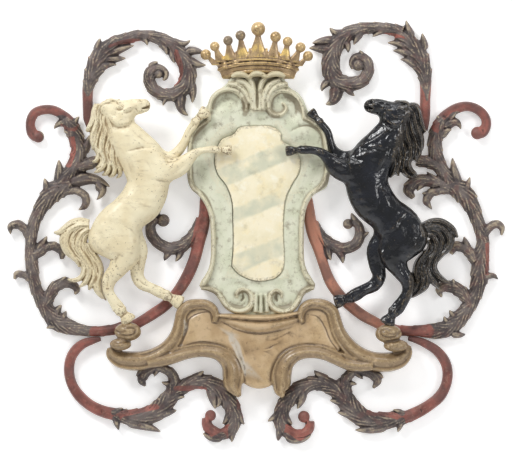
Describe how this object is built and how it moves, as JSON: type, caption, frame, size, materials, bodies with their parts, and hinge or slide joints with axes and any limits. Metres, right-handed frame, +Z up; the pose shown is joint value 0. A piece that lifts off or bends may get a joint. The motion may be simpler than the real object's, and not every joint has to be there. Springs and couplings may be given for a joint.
{
  "type": "coat of arms",
  "caption": "Carved and painted wooden coat of arms: two rearing horses hold a crowned shield among leafy scrolls, made to hang flat on a wall.",
  "frame": {"origin": "on the flat back of the cartouche, where it meets the wall, near the middle of the whole", "axes": "+X to the viewer's right, +Z up, -Y towards the viewer and away from the wall"},
  "size_m": [1.2401, 0.0925, 1.0569],
  "materials": {
    "pale_green_paint": "aged matt paint",
    "cream_paint": "aged satin paint",
    "worn_gilding": "rubbed gilding",
    "ochre_gilding": "toned gilding, satin",
    "white_paint": "aged satin paint",
    "black_lacquer": "glossy paint",
    "leaf_lacquer": "tarnished leaf and red lacquer"
  },
  "bodies": {
    "root": {"cartouche": "pale_green_paint", "shield": "cream_paint", "crown": "worn_gilding", "base": "ochre_gilding", "white_horse": "white_paint", "black_horse": "black_lacquer", "upper_scroll_left": "leaf_lacquer", "upper_scroll_right": "leaf_lacquer", "side_scroll_left": "leaf_lacquer", "side_scroll_right": "leaf_lacquer", "lower_scroll_left": "leaf_lacquer", "lower_scroll_right": "leaf_lacquer", "inner_scroll_left": "leaf_lacquer", "inner_scroll_right": "leaf_lacquer"}
  },
  "joints": []
}
